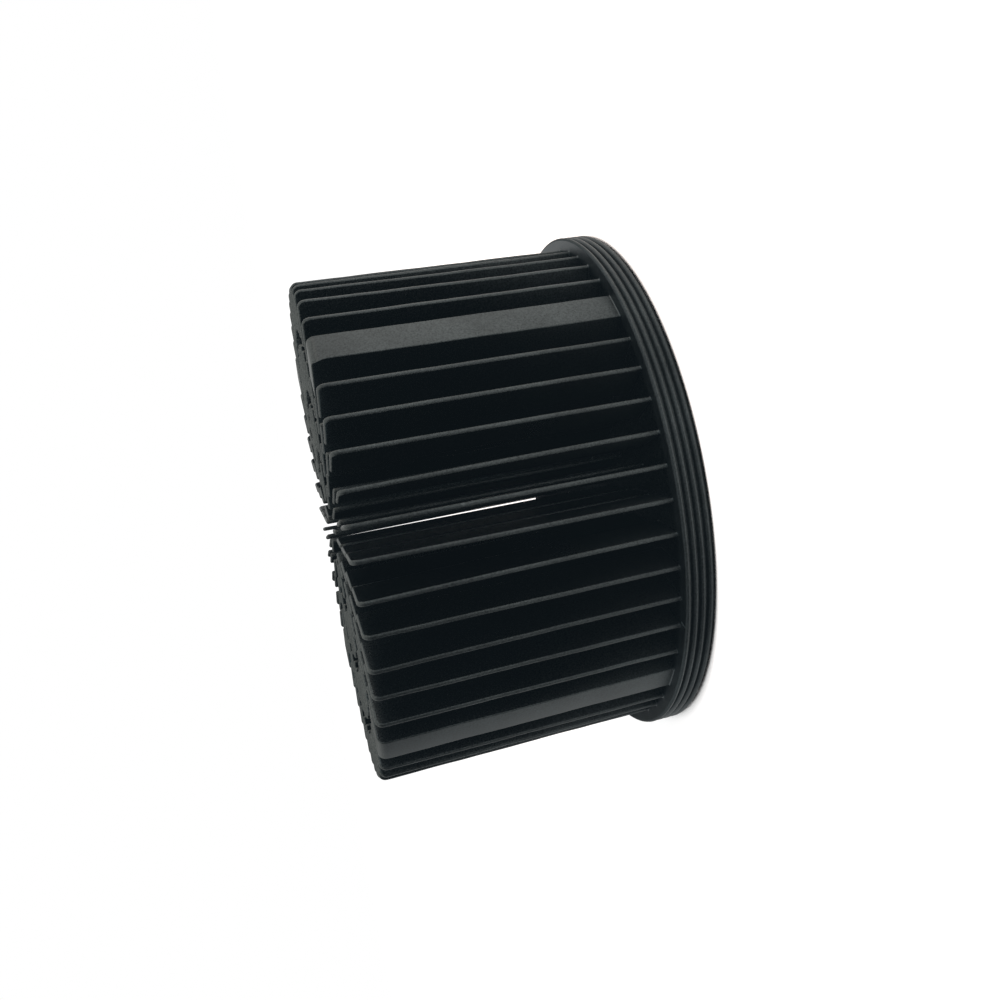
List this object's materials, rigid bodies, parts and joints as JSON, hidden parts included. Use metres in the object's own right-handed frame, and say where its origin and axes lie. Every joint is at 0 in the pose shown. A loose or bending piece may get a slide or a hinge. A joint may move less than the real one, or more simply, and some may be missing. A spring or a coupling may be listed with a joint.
{
  "type": "led heat sink",
  "caption": "Round black anodised heat sink for an LED lamp: a flat flange with a ridged rim carries rings of upright radial fins and thick ribs.",
  "frame": {"origin": "centre of the flat LED face, which the part stands on", "axes": "+Z along the axis, from the LED face to the fin tips; +X through the middle of a rib"},
  "size_m": [0.105, 0.105, 0.061],
  "materials": {
    "black_anodised_aluminium": "fine bead blasted, then anodised black"
  },
  "bodies": {
    "root": {"heat_sink": "black_anodised_aluminium"}
  },
  "joints": []
}
